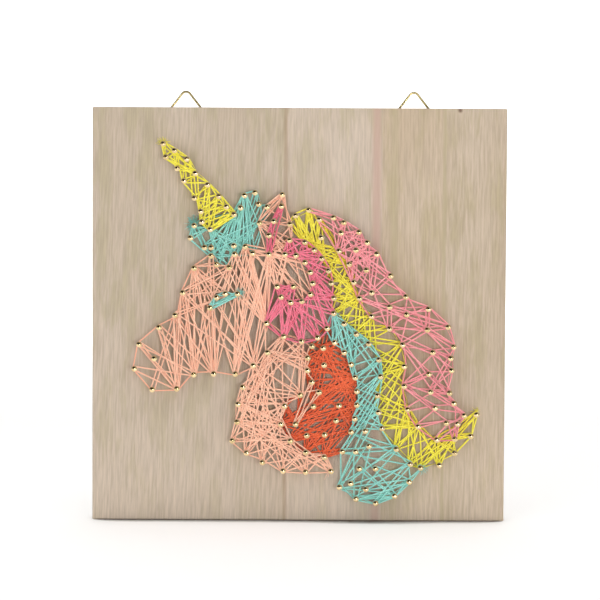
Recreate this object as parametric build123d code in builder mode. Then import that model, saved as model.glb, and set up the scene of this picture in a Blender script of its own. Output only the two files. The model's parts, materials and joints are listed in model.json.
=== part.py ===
from build123d import *

import math
import os

# A string-art wall plaque: a square board of glued staves, a pattern of brass-headed nails, cotton
# threads laced between the nails in coloured fields, and two triangular wire hangers on the back.
#
# Frame: the plaque stands on its lower edge. X runs to the right along the board, +Z is up and the
# decorated face looks towards -Y. The origin is the middle of the lower edge face.

# ------------------------------------------------------------------------------ driving sizes, mm

# Board
BOARD_SIDE = 220.0
BOARD_THICKNESS = 12.0
EDGE_ROUND = 0.8  # eased outer arrises

# Template that the pattern is drawn on; it is scaled to the board's side
TEMPLATE_SIDE = 220.0
STAVE_SEAMS = (-7.0, 44.0, 77.0)  # glue lines, on the template

# Nails
SHANK_DIAMETER = 1.2
SHANK_POINT = 1.8  # length of the tapered point
HEAD_DIAMETER = 3.0
HEAD_HEIGHT = 0.9
HEAD_RIM = 0.3  # straight edge under the dome
NAIL_BITE = 7.0  # depth driven into the wood

# Threads
THREAD_DIAMETER = 0.7
THREAD_GAP = 0.06  # free space between passes that lie one above another
WRAP_GAP = 0.03  # free space between a thread and the shank that it goes round
BARE_SHANK = 1.2  # shank left free between the wood and the first pass
TOP_GAP = 0.3  # between the last pass and the heads
BAND_PASSES = 3  # passes that one field of colour lays
BANDS = 3  # fields that share a nail lie in different bands

# Wire hangers
HANGER_SPACING = 122.0  # between the middles of the two hangers
RING_WIRE = 1.2
RING_RISE = 10.3  # sharp corner of the triangle above the board's top edge
RING_DROP = 3.6  # pivot bar below the board's top edge
RING_APEX_HALF = 38.0  # degrees, each leg from the vertical
RING_BEND = 2.6  # centre-line radius of the three bends
RING_SPLIT = 0.4  # opening between the wire's two ends, inside the loop
PIVOT_CLEARANCE = 0.05  # radial, between the pivot bar and its loop

STRAP_THICKNESS = 0.6
STRAP_WIDTH = 9.0
STRAP_LENGTH = 14.0  # from the pivot bar down to the rounded end
STRAP_CORNER = 3.0
LOOP_WRAP = 300.0  # degrees that the loop goes round the bar
SCREW_DROP = 8.0  # screw below the pivot bar

SCREW_SHANK = 2.2
SCREW_CLEARANCE = 0.2  # radial, in the strap's hole
SCREW_BITE = 7.0  # depth in the wood
SCREW_HEAD_DIAMETER = 4.6
SCREW_HEAD_HEIGHT = 1.6
SCREW_SLOT_WIDTH = 0.8
SCREW_SLOT_DEPTH = 0.8

# ------------------------------------------------------------------------------- worked-out sizes

SCALE = BOARD_SIDE / TEMPLATE_SIDE
FRONT = -BOARD_THICKNESS / 2
BACK = BOARD_THICKNESS / 2
PASS_PITCH = THREAD_DIAMETER + THREAD_GAP
HEAD_SEAT = BARE_SHANK + BANDS * BAND_PASSES * PASS_PITCH + TOP_GAP  # head's underside above the wood
WRAP_RADIUS = SHANK_DIAMETER / 2 + THREAD_DIAMETER / 2 + WRAP_GAP

# ---------------------------------------------------------------------------------- nail pattern


def nail_row(*points, count=0):
    """Places of one row of nails, on the board.

    The nails stand at the points, or count of them are spaced evenly along a curve through them.
    """
    if not count:
        return [(x * SCALE, z * SCALE) for x, z in points]
    with BuildLine(mode=Mode.PRIVATE) as rail:
        Spline(*points)
    curve = rail.line.edges()[0]
    places = [curve.position_at(index / (count - 1)) for index in range(count)]
    return [(place.X * SCALE, place.Y * SCALE) for place in places]


HORN_LEFT = nail_row(
    (-72, 200.5), (-70.5, 193.5), (-64.5, 187.5), (-61, 181),
    (-55.5, 172), (-52, 165), (-51.5, 159.5), (-47, 155.5),
)
HORN_RIGHT = nail_row(
    (-66, 197), (-59.5, 192.5), (-55, 185), (-48.5, 179), (-42.5, 173), (-38.5, 167.5), (-34.5, 163.5)
)
FORELOCK_LOWER = nail_row(
    (-55.5, 157.5), (-57.5, 151), (-50, 146), (-46.5, 141.5), (-43.5, 137),
    (-37, 135.5), (-34, 142.5), (-28.5, 146.5), (-24.5, 143), (-21, 159),
)
FORELOCK_TOP = nail_row((-31, 167), (-29, 173.5), (-23.5, 175), (-21.5, 169), (-17, 167.5))
EAR = nail_row((-9, 174), (-9.5, 168), (-13.5, 160), (-16, 152.5), (-16, 142.5))
FACE_FRONT = nail_row(
    (-55.5, 135), (-61.5, 122), (-65.5, 110), (-74, 103.5), (-84.5, 94.5), (-87, 81.5),
    (-77.5, 70.5), (-64.5, 71), (-55.5, 78.5), (-45, 79), (-33.5, 79), (-24, 83.5),
)
EYE = nail_row((-47, 114), (-43.5, 119.5), (-39, 121.5), (-32.5, 121.5))
NECK_FRONT = nail_row(
    (-29.5, 72), (-32, 63), (-32.5, 53.5), (-35, 43.5), (-27.5, 37), (-19, 32),
    (-8, 27.5), (4, 27), (17.5, 27.5),
)
CURL_HOOK = nail_row(
    (-11.5, 125.5), (-3.5, 117), (5.5, 120.5), (6, 133), (-1.5, 142), (-7.5, 142.5), count=10
)
CURL_RIM = nail_row((-17, 106), (-8, 99), (1.5, 96.5), (10, 98.5), (15, 103.5))
LOCK_TOP = nail_row((-5, 150), (-5, 158.5), (-2, 163), (5, 166), (10.5, 161), (11.5, 151.5))
LOCK_LEFT = nail_row(
    (3, 149), (8, 145), (12, 140.5), (15.5, 134), (17, 127.5), (18.5, 119.5), (18.5, 111.5),
    (24, 106), (30.5, 100.5), (37, 95.5), (42.5, 87), (43.5, 78), (42, 68), (42.5, 59),
    (44.5, 50.5), (52, 39.5), (59.5, 31.5), (65, 29.5), (75, 31), (83, 37.5), (91.5, 46.5),
    (94.5, 58),
)
LOCK_RIGHT = nail_row(
    (21, 144.5), (26.5, 137.5), (29, 128), (32, 119.5), (38.5, 110), (48, 103.5), (55, 95),
    (56, 83.5), (56, 73), (58, 60.5), (63.5, 51.5), (73.5, 44.5), (83, 45),
)
MANE_OUTER = nail_row(
    (18, 162), (23.5, 159.5), (31.5, 154.5), (36, 149), (41, 143), (48.5, 131.5), (56.5, 120.5),
    (68.5, 114), (79, 104.5), (82, 94), (80.5, 88), (81, 81.5), (80, 69.5), (82.5, 64), (88, 57.5),
)
MANE_MIDDLE = nail_row(
    (22, 154), (30, 145), (35.5, 134.5), (38.5, 122.5), (48, 115), (57, 111), (68, 103),
    (71, 91), (69, 79.5), (70, 70), (72.5, 61.5), (78.5, 53.5), (84.5, 53),
)
ORANGE_LEFT = nail_row((7, 94), (4.5, 84), (11, 69.5), count=5)
ORANGE_LOBE = nail_row((1, 68), (-9.5, 54), (3, 38), (23.5, 38), count=7)
ORANGE_RIGHT = nail_row((19, 96), (28, 84), (31, 70), (30, 56), (28, 48.5), count=8)
ORANGE_MIDDLE = nail_row(
    (13, 93), (13.5, 84), (21.5, 62.5), (20, 54.5), (14, 47), (4.5, 46.5), (-1.5, 52.5), (8, 62)
)
LOCK_TIP = nail_row((22, 19), (41, 10.5), (59, 22), count=5)
LOCK_MIDDLE = nail_row(
    (35.5, 49), (37.5, 41), (30.5, 38), (32.5, 29), (41, 29), (36, 18), (28, 21)
)
INNER = nail_row((-76.5, 87), (-16.5, 90.5), (-3, 125.5), (-34.5, 147), (-46.5, 146))

ROWS = {
    "horn_left": HORN_LEFT,
    "horn_right": HORN_RIGHT,
    "forelock_lower": FORELOCK_LOWER,
    "forelock_top": FORELOCK_TOP,
    "ear": EAR,
    "face_front": FACE_FRONT,
    "eye": EYE,
    "neck_front": NECK_FRONT,
    "curl_hook": CURL_HOOK,
    "curl_rim": CURL_RIM,
    "lock_top": LOCK_TOP,
    "lock_left": LOCK_LEFT,
    "lock_right": LOCK_RIGHT,
    "mane_outer": MANE_OUTER,
    "mane_middle": MANE_MIDDLE,
    "orange_left": ORANGE_LEFT,
    "orange_lobe": ORANGE_LOBE,
    "orange_right": ORANGE_RIGHT,
    "orange_middle": ORANGE_MIDDLE,
    "lock_tip": LOCK_TIP,
    "lock_middle": LOCK_MIDDLE,
    "inner": INNER,
}
NAILS = [place for row in ROWS.values() for place in row]

# ------------------------------------------------------------------------------- thread routes


def spread(row, count):
    """Count nails picked evenly from a row, its first and last among them."""
    return [row[round(index * (len(row) - 1) / (count - 1))] for index in range(count)]


def lacing(near, far, lead=0):
    """Nails that a thread visits on its way to and fro between two rows, far's lead nails ahead."""
    count = min(len(near), len(far))
    pairs = zip(spread(near, count), spread(far, count)[lead:])
    return [nail for pair in pairs for nail in pair]


def straight_run(start, start_side, end, end_side):
    """Tangent points of the straight run between two nails, and its heading.

    A side is 1 where the thread keeps the nail on its left, and -1 where it keeps it on its right.
    """
    reach = math.dist(start, end)
    swing = math.asin((end_side - start_side) * WRAP_RADIUS / reach)
    heading = math.atan2(end[1] - start[1], end[0] - start[0]) - swing
    across = (-math.sin(heading), math.cos(heading))
    leave = tuple(start[axis] - start_side * WRAP_RADIUS * across[axis] for axis in (0, 1))
    arrive = tuple(end[axis] - end_side * WRAP_RADIUS * across[axis] for axis in (0, 1))
    return leave, arrive, heading


def nail_in_the_way(start, start_side, end, end_side):
    """The first nail that a straight run would cut into, with the side it passes, or None."""
    leave, arrive, heading = straight_run(start, start_side, end, end_side)
    length = math.dist(leave, arrive)
    nearest = None
    for nail in NAILS:
        if nail in (start, end):
            continue
        offset = (nail[0] - leave[0], nail[1] - leave[1])
        along = offset[0] * math.cos(heading) + offset[1] * math.sin(heading)
        aside = offset[1] * math.cos(heading) - offset[0] * math.sin(heading)
        if 0 < along < length and abs(aside) < WRAP_RADIUS and (not nearest or along < nearest[0]):
            nearest = (along, nail, 1 if aside > 0 else -1)
    return nearest and nearest[1:]


def taut_route(stops):
    """Nails that a taut thread bears on, in order, each with the side it passes."""
    sides = []
    for before, stop, after in zip(stops, stops[1:], stops[2:]):
        turn = (stop[0] - before[0]) * (after[1] - stop[1]) - (stop[1] - before[1]) * (after[0] - stop[0])
        sides.append(1 if turn > 0 else -1)
    route = list(zip(stops, [sides[0], *sides, sides[-1]]))
    index = 0
    while index < len(route) - 1:
        met = nail_in_the_way(*route[index], *route[index + 1])
        if met:
            route.insert(index + 1, met)
        else:
            index += 1
    return route


def lay_pass(stops, level):
    """Adds one taut pass of thread, at its level up the shanks, to the part being built."""
    route = taut_route(stops)
    runs = [straight_run(*here, *there) for here, there in zip(route, route[1:])]
    lift = BOARD_THICKNESS / 2 + BARE_SHANK + THREAD_DIAMETER / 2 + level * PASS_PITCH
    with BuildLine(Plane.XZ.offset(lift)) as path:
        for (leave, arrive, heading), onward, (nail, side) in zip(runs, runs[1:], route[1:]):
            Line(leave, arrive)
            turn = side * math.degrees(side * (onward[2] - heading) % math.tau)
            CenterArc(nail, WRAP_RADIUS, math.degrees(heading) - side * 90, turn)
        Line(*runs[-1][:2])
    wire = path.wire()
    with BuildSketch(Plane(origin=wire @ 0, z_dir=wire % 0)) as section:
        Circle(THREAD_DIAMETER / 2)
    sweep(section.sketch, path=wire)
    return wire.length


# Rows that bound a field of colour, in the order in which the thread meets them
FORELOCK_CROWN = [FORELOCK_LOWER[0], HORN_LEFT[-1], FORELOCK_TOP[0], FORELOCK_TOP[2], FORELOCK_TOP[4]]
BROW = FACE_FRONT[5::-1] + FORELOCK_LOWER[3:7]
JAW = FACE_FRONT[6:] + [CURL_RIM[0], FORELOCK_LOWER[7]]
NAPE = CURL_RIM[1:3] + [ORANGE_LOBE[0], *ORANGE_LOBE[2:6]]
CURL_BACK = CURL_RIM + LOCK_LEFT[6:0:-1] + [LOCK_LEFT[0], LOCK_TOP[0]]
ORANGE_FRONT = ORANGE_LEFT + ORANGE_LOBE
ORANGE_BACK = CURL_RIM[4:] + ORANGE_RIGHT
LOCK_INSIDE = ORANGE_BACK + LOCK_TIP[:3]
LOCK_OUTSIDE = LOCK_LEFT[6:17] + LOCK_TIP[:2:-1]
MANE_ROOT = LOCK_TOP[2:5] + LOCK_RIGHT

# Each field's band and its passes; fields that share a nail are in different bands
FIELDS = {
    "horn": (1, [
        lacing(HORN_LEFT, HORN_RIGHT),
        lacing(HORN_RIGHT, HORN_LEFT[1:]),
        HORN_LEFT + HORN_RIGHT[::-1],
    ]),
    "forelock": (0, [
        lacing(FORELOCK_CROWN, [FORELOCK_LOWER[index] for index in (1, 3, 5, 7, 8)]),
        lacing([FORELOCK_LOWER[index] for index in (1, 2, 4, 6, 8)], FORELOCK_CROWN),
        FORELOCK_CROWN[:2] + HORN_RIGHT[-1:] + FORELOCK_TOP + FORELOCK_LOWER[:0:-1],
    ]),
    "ear": (1, [
        lacing([FORELOCK_TOP[4], FORELOCK_LOWER[9], EAR[4]], [EAR[0], LOCK_TOP[1], LOCK_TOP[0]]),
        lacing([EAR[0], LOCK_TOP[1], LOCK_TOP[0]], [FORELOCK_TOP[4], FORELOCK_LOWER[9], EAR[4]]),
        [FORELOCK_TOP[4], FORELOCK_LOWER[9], EAR[4], LOCK_TOP[0], LOCK_TOP[1], EAR[0]],
    ]),
    "ear_lining": (2, [
        [EAR[1], EAR[4], EAR[1]],
        [EAR[3], EAR[1], EAR[3]],
        [EAR[4], EAR[2], EAR[4]],
    ]),
    "eyelid": (2, [
        [EYE[0], EYE[3], EYE[0]],
        [EYE[3], EYE[0], EYE[3]],
        [EYE[0], EYE[2], EYE[0]],
    ]),
    "face": (1, [lacing(BROW, JAW), lacing(JAW, BROW), BROW + JAW[::-1]]),
    "neck": (1, [lacing(NECK_FRONT, NAPE), lacing(NAPE, NECK_FRONT), NECK_FRONT + NAPE[::-1]]),
    "cheek_curl": (2, [
        lacing(CURL_HOOK, CURL_BACK),
        lacing(CURL_BACK, CURL_HOOK[1:]),
        CURL_HOOK + CURL_BACK[::-1],
    ]),
    "orange_curl": (0, [
        lacing(ORANGE_BACK[::2], ORANGE_MIDDLE[:5]),
        lacing(ORANGE_MIDDLE[7:3:-1], [ORANGE_LOBE[index] for index in (0, 2, 4, 5)]),
        ORANGE_FRONT + ORANGE_BACK[::-1],
    ]),
    "inner_lock": (1, [
        lacing(LOCK_INSIDE, LOCK_OUTSIDE),
        lacing(LOCK_OUTSIDE, LOCK_INSIDE),
        LOCK_INSIDE + LOCK_OUTSIDE[::-1],
    ]),
    "long_lock": (0, [
        lacing(LOCK_LEFT[6:-3], LOCK_RIGHT[2:-1]),
        lacing(MANE_ROOT, LOCK_LEFT[:-1]),
        LOCK_LEFT + MANE_ROOT[::-1] + [LOCK_TOP[1]],
    ]),
    "outer_mane": (1, [
        lacing(LOCK_RIGHT, MANE_MIDDLE),
        lacing(MANE_OUTER, MANE_MIDDLE),
        LOCK_RIGHT + MANE_OUTER[::-1],
    ]),
}

pieces = {}

for name, (band, passes) in FIELDS.items():
    length = 0
    with BuildPart() as thread:
        for index, stops in enumerate(passes):
            length += lay_pass(stops, band * BAND_PASSES + index)
    pieces["thread_" + name] = thread.part
    section = math.pi * THREAD_DIAMETER**2 / 4
    print(f"thread_{name}: {length:.0f} mm, volume / (section x length) {thread.part.volume / section / length:.4f}")

# ------------------------------------------------------------------------------------- nails

with BuildPart() as nail:
    with BuildSketch(Plane.XY):
        with BuildLine():
            Polyline(
                (0, FRONT + NAIL_BITE),
                (SHANK_DIAMETER / 2, FRONT + NAIL_BITE - SHANK_POINT),
                (SHANK_DIAMETER / 2, FRONT - HEAD_SEAT),
                (HEAD_DIAMETER / 2, FRONT - HEAD_SEAT),
                (HEAD_DIAMETER / 2, FRONT - HEAD_SEAT - HEAD_RIM),
            )
            TangentArc(
                (0, FRONT - HEAD_SEAT - HEAD_HEIGHT),
                (HEAD_DIAMETER / 2, FRONT - HEAD_SEAT - HEAD_RIM),
                tangent=(1, 0),
                tangent_from_first=True,
            )
            Line((0, FRONT - HEAD_SEAT - HEAD_HEIGHT), (0, FRONT + NAIL_BITE))
        make_face()
    revolve(axis=Axis.Y)

for name, places in ROWS.items():
    with BuildPart() as nails:
        with Locations(*[(x, 0, z) for x, z in places]):
            add(nail.part)
    pieces["nails_" + name] = nails.part

# ------------------------------------------------------------------------------------- board

PIVOT_HEIGHT = BOARD_SIDE - RING_DROP
HANGERS = {"left": -HANGER_SPACING / 2, "right": HANGER_SPACING / 2}

with BuildPart() as board:
    with Locations((0, 0, BOARD_SIDE / 2)):
        Box(BOARD_SIDE, BOARD_THICKNESS, BOARD_SIDE)
    fillet(board.edges(), radius=EDGE_ROUND)
    with BuildSketch(Plane.XZ.offset(BOARD_THICKNESS / 2)):
        with Locations(*NAILS):
            Circle(SHANK_DIAMETER / 2)
    extrude(amount=-NAIL_BITE, mode=Mode.SUBTRACT)
    with BuildSketch(Plane.XZ.offset(-BOARD_THICKNESS / 2)):
        with Locations(*[(x, PIVOT_HEIGHT - SCREW_DROP) for x in HANGERS.values()]):
            Circle(SCREW_SHANK / 2)
    extrude(amount=SCREW_BITE, mode=Mode.SUBTRACT)

seams = [seam * SCALE for seam in STAVE_SEAMS]
for name, left, right in zip(
    ("left", "middle", "right", "edge"), [None, *seams], [*seams, None]
):
    with BuildPart() as stave:
        add(board.part)
        if left is not None:
            split(bisect_by=Plane.YZ.offset(left), keep=Keep.TOP)
        if right is not None:
            split(bisect_by=Plane.YZ.offset(right), keep=Keep.BOTTOM)
    pieces["board_stave_" + name] = stave.part

# ------------------------------------------------------------------------------------- hangers

BORE = RING_WIRE / 2 + PIVOT_CLEARANCE
PIVOT_BACK = BACK + STRAP_THICKNESS + BORE
RING_HEIGHT = RING_RISE + RING_DROP
RING_HALF = RING_HEIGHT * math.tan(math.radians(RING_APEX_HALF))

for name, across in HANGERS.items():
    with BuildPart() as strap:
        with BuildSketch(Plane.YZ.offset(across)):
            with BuildLine():
                rolled = CenterArc((PIVOT_BACK, PIVOT_HEIGHT), BORE, 180, -LOOP_WRAP)
                outside = CenterArc((PIVOT_BACK, PIVOT_HEIGHT), BORE + STRAP_THICKNESS, 180, -LOOP_WRAP)
                Line(rolled @ 0, outside @ 0)
                Line(rolled @ 1, outside @ 1)
            make_face()
            with Locations((BACK + STRAP_THICKNESS / 2, PIVOT_HEIGHT - STRAP_LENGTH / 2)):
                Rectangle(STRAP_THICKNESS, STRAP_LENGTH)
        extrude(amount=STRAP_WIDTH / 2, both=True)
        fillet(strap.edges().filter_by(Axis.Y).group_by(Axis.Z)[0], radius=STRAP_CORNER)
        with BuildSketch(Plane.XZ.offset(-BACK)):
            with Locations((across, PIVOT_HEIGHT - SCREW_DROP)):
                Circle(SCREW_SHANK / 2 + SCREW_CLEARANCE)
        extrude(amount=-STRAP_THICKNESS, mode=Mode.SUBTRACT)
    pieces["strap_" + name] = strap.part

    with BuildPart() as ring:
        with BuildLine(Plane.XZ.offset(-PIVOT_BACK)) as wire:
            FilletPolyline(
                (across + RING_SPLIT / 2, PIVOT_HEIGHT),
                (across + RING_HALF, PIVOT_HEIGHT),
                (across, PIVOT_HEIGHT + RING_HEIGHT),
                (across - RING_HALF, PIVOT_HEIGHT),
                (across - RING_SPLIT / 2, PIVOT_HEIGHT),
                radius=RING_BEND,
            )
        with BuildSketch(Plane(origin=wire.line @ 0, z_dir=wire.line % 0)):
            Circle(RING_WIRE / 2)
        sweep(path=wire.line)
    pieces["ring_" + name] = ring.part

    with BuildPart() as screw:
        with BuildSketch(Plane.XY.offset(PIVOT_HEIGHT - SCREW_DROP)):
            with BuildLine():
                Polyline(
                    (across, BACK - SCREW_BITE),
                    (across + SCREW_SHANK / 2, BACK - SCREW_BITE + SCREW_SHANK),
                    (across + SCREW_SHANK / 2, BACK + STRAP_THICKNESS),
                    (across + SCREW_HEAD_DIAMETER / 2, BACK + STRAP_THICKNESS),
                )
                TangentArc(
                    (across, BACK + STRAP_THICKNESS + SCREW_HEAD_HEIGHT),
                    (across + SCREW_HEAD_DIAMETER / 2, BACK + STRAP_THICKNESS),
                    tangent=(1, 0),
                    tangent_from_first=True,
                )
                Line(
                    (across, BACK + STRAP_THICKNESS + SCREW_HEAD_HEIGHT),
                    (across, BACK - SCREW_BITE),
                )
            make_face()
        revolve(axis=Axis((across, 0, PIVOT_HEIGHT - SCREW_DROP), (0, 1, 0)))
        with Locations((across, BACK + STRAP_THICKNESS + SCREW_HEAD_HEIGHT, PIVOT_HEIGHT - SCREW_DROP)):
            Box(SCREW_HEAD_DIAMETER, 2 * SCREW_SLOT_DEPTH, SCREW_SLOT_WIDTH, mode=Mode.SUBTRACT)
    pieces["screw_" + name] = screw.part

# ------------------------------------------------------------------------------------- export

os.makedirs("parts", exist_ok=True)
for name, piece in pieces.items():
    piece.label = name
    export_step(piece, "parts/" + name + ".step")
print(len(pieces), "nodes")
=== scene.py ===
"""Looks of a string-art wall plaque: timber staves, brass nails, cotton threads and wire hangers."""

import json
import logging
import math
import random
from dataclasses import dataclass, field
from enum import Enum
from typing import Iterator, Sequence

import bmesh
import bpy
import numpy as np
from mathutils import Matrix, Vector


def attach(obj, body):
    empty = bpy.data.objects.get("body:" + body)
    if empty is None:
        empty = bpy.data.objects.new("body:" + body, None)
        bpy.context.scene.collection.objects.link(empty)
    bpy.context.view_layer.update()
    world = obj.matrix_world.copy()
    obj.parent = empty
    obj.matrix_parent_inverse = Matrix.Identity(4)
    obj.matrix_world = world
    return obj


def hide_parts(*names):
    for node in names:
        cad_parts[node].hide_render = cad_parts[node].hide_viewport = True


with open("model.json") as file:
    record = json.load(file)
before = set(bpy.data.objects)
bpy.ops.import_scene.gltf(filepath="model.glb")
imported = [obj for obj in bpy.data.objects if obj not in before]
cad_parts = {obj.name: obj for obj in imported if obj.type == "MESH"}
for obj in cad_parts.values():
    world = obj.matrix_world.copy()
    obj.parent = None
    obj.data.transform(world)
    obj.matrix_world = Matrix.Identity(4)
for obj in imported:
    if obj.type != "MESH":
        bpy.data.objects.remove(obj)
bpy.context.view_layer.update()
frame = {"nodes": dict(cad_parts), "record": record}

log = logging.getLogger("plaque")

MM = 0.001
Place = tuple[float, float]
Span = tuple[float, float]
Point = tuple[float, float, float]
Colour = tuple[float, float, float]
Stop = tuple[Place, int]
Strand = tuple[list[Vector], float]
Tree, Node, Socket = bpy.types.NodeTree, bpy.types.Node, bpy.types.NodeSocket
Material, Piece = bpy.types.Material, bpy.types.Object


def srgb(red: int, green: int, blue: int) -> Colour:
    """Turns a paint-chart colour, 0 to 255, into the linear values that shaders take.

    Args:
        red: Red share.
        green: Green share.
        blue: Blue share.

    Returns:
        The linear colour.
    """
    chart = (channel / 255 for channel in (red, green, blue))
    return tuple(c / 12.92 if c <= 0.04045 else ((c + 0.055) / 1.055) ** 2.4 for c in chart)


def scaled(colour: Colour, *shares: float) -> Colour:
    """Multiplies a colour by one share, or by one for each channel."""
    return tuple(channel * share for channel, share in zip(colour, shares if shares[1:] else shares * 3))


# ---- node helpers


class Bench:
    """Places and joins the nodes of one node tree."""

    def __init__(self, tree: Tree) -> None:
        """Starts with an empty tree.

        Args:
            tree: The tree to fill.
        """
        self.tree = tree
        tree.nodes.clear()

    def put(self, kind: str, feeds: dict | None = None, **settings: object) -> Node:
        """Adds a node.

        Args:
            kind: Blender's name of the node type.
            feeds: Input name or number, to a plain value or to the socket that feeds it.
            **settings: The node's own properties.

        Returns:
            The new node.
        """
        node = self.tree.nodes.new(kind)
        for name, value in settings.items():
            setattr(node, name, value)
        for name, value in (feeds or {}).items():
            if isinstance(value, Socket):
                self.join(value, node, name)
            else:
                if node.inputs[name].type == "RGBA" and len(value) == 3:
                    value = (*value, 1)
                node.inputs[name].default_value = value
        return node

    def join(self, value: Socket, node: Node, name: str | int) -> None:
        """Feeds a socket into an input of a node that is already there."""
        self.tree.links.new(value, node.inputs[name])

    def here(self) -> Socket:
        """Gives the place in the piece's own coordinates."""
        return self.put("ShaderNodeTexCoord").outputs["Object"]

    def split(self, place: object) -> bpy.types.NodeOutputs:
        """Takes a vector apart into its X, Y and Z."""
        return self.put("ShaderNodeSeparateXYZ", {0: place}).outputs

    def vector(self, x: object = 0.0, y: object = 0.0, z: object = 0.0) -> Socket:
        """Puts a vector together from its parts."""
        return self.put("ShaderNodeCombineXYZ", {0: x, 1: y, 2: z}).outputs[0]

    def compare(self, kind: str, first: object, second: object) -> Socket:
        """Works out one number, such as the DISTANCE, from two vectors."""
        return self.put("ShaderNodeVectorMath", {0: first, 1: second}, operation=kind).outputs["Value"]

    def math(self, kind: str, first: object, second: object = 0.5, third: object = 0.5) -> Socket:
        """Adds a Math node.

        Args:
            kind: The operation's name.
            first: First number or socket.
            second: Second number or socket.
            third: Third number or socket, for the operations that take three.

        Returns:
            Its result.
        """
        return self.put("ShaderNodeMath", {0: first, 1: second, 2: third}, operation=kind).outputs[0]

    def ramp(self, value: object, low: float, high: float, start: float = 0, end: float = 1) -> Socket:
        """Adds a smooth step from one number to another.

        Args:
            value: What to follow.
            low: Where the step begins.
            high: Where it ends.
            start: The result up to low.
            end: The result from high.

        Returns:
            The stepped value.
        """
        feeds = {"Value": value, "From Min": low, "From Max": high, "To Min": start, "To Max": end}
        return self.put("ShaderNodeMapRange", feeds, interpolation_type="SMOOTHSTEP").outputs[0]

    def mix(self, share: object, first: object, second: object) -> Socket:
        """Mixes two colours.

        Args:
            share: How much of the second colour shows.
            first: Colour or socket at 0.
            second: Colour or socket at 1.

        Returns:
            The mixed colour.
        """
        return self.put("ShaderNodeMix", {0: share, 6: first, 7: second}, data_type="RGBA").outputs[2]

    def noise(
        self, place: object, scale: object, detail: float = 2, seed: object = None, rough: float = 0.5
    ) -> Socket:
        """Adds a cloudy texture.

        Args:
            place: Where it is read.
            scale: How fine it is.
            detail: How many finer layers it has.
            seed: What tells one piece from the next, or None where all are alike.
            rough: How strong the finer layers are.

        Returns:
            Its value, 0 to 1.
        """
        feeds = {"Vector": place, "Scale": scale, "Detail": detail, "Roughness": rough}
        if seed is None:
            return self.put("ShaderNodeTexNoise", feeds).outputs["Fac"]
        return self.put("ShaderNodeTexNoise", {**feeds, "W": seed}, noise_dimensions="4D").outputs["Fac"]

    def bump(self, shader: Node, height: object, strength: float, depth: float) -> None:
        """Gives a shader a relief.

        Args:
            shader: The shader.
            height: The relief's height, 0 to 1.
            strength: How strongly it shows.
            depth: The depth of a height of 1.
        """
        relief = self.put("ShaderNodeBump", {"Height": height, "Strength": strength, "Distance": depth})
        self.join(relief.outputs[0], shader, "Normal")


def effect(name: str, takes: dict[str, object], gives: Sequence[str]) -> tuple[Bench, dict, Node]:
    """Opens a new shader node group, which gives plain values only.

    Args:
        name: The group's name.
        takes: Input names and their starting values.
        gives: Output names.

    Returns:
        The group's bench, its inputs by name and its output node.
    """
    tree = bpy.data.node_groups.new(name, "ShaderNodeTree")
    for label, value in takes.items():
        kind = "NodeSocketVector" if isinstance(value, tuple) else "NodeSocketFloat"
        tree.interface.new_socket(label, in_out="INPUT", socket_type=kind).default_value = value
    for label in gives:
        tree.interface.new_socket(label, in_out="OUTPUT", socket_type="NodeSocketFloat")
    bench = Bench(tree)
    inside = bench.put("NodeGroupInput")
    return bench, {label: inside.outputs[label] for label in takes}, bench.put("NodeGroupOutput")


@dataclass(frozen=True)
class GrainNoise:
    """Marks of one kind in the timber: how drawn out, how fine, and from where to where they show."""

    label: str
    stretch: float
    scale: float
    low: float
    high: float


GRAIN_NOISES = (
    GrainNoise("Streaks", 0.060, 1000, 0.32, 0.70),
    GrainNoise("Pores", 0.10, 1500, 0.66, 0.74),
    GrainNoise("Clouds", 0.25, 26, 0.3, 0.7),
    GrainNoise("Mottle", 0.22, 130, 0.44, 0.64),
)


def grain_effect() -> Tree:
    """Builds the timber grain: growth lines, streaks, pores, clouds and mottle, along Z.

    Returns:
        The node group.
    """
    wander_stretch, wander_scale, wander_lines = 0.09, 42, 8.0
    late_wood, line_end = 3.0, 0.9
    bench, takes, out = effect(
        "Timber grain",
        {"Seed": 0.0, "Lean": 0.0, "Line spacing": 3 * MM, "Pith": (0.0, 0.05, 0.0)},
        ("Rings", *(noise.label for noise in GRAIN_NOISES)),
    )
    here = bench.split(bench.here())
    across = bench.math("SUBTRACT", here["X"], bench.math("MULTIPLY", takes["Lean"], here["Z"]))
    wander = bench.vector(across, here["Y"], bench.math("MULTIPLY", here["Z"], wander_stretch))
    roll = bench.noise(wander, wander_scale, seed=takes["Seed"])
    pith = bench.split(takes["Pith"])
    reach = bench.compare("DISTANCE", bench.vector(across, here["Y"]), bench.vector(pith["X"], pith["Y"]))
    turns = bench.math("DIVIDE", reach, takes["Line spacing"])
    saw = bench.math("FRACT", bench.math("ADD", turns, bench.math("MULTIPLY", roll, wander_lines)))
    late = bench.math("POWER", saw, late_wood)
    bench.join(bench.math("MULTIPLY", late, bench.ramp(saw, 1.0, line_end)), out, "Rings")
    for noise in GRAIN_NOISES:
        spot = bench.vector(across, here["Y"], bench.math("MULTIPLY", here["Z"], noise.stretch))
        value = bench.noise(spot, noise.scale, 3, takes["Seed"], 0.6)
        bench.join(bench.ramp(value, noise.low, noise.high), out, noise.label)
    return bench.tree


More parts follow.
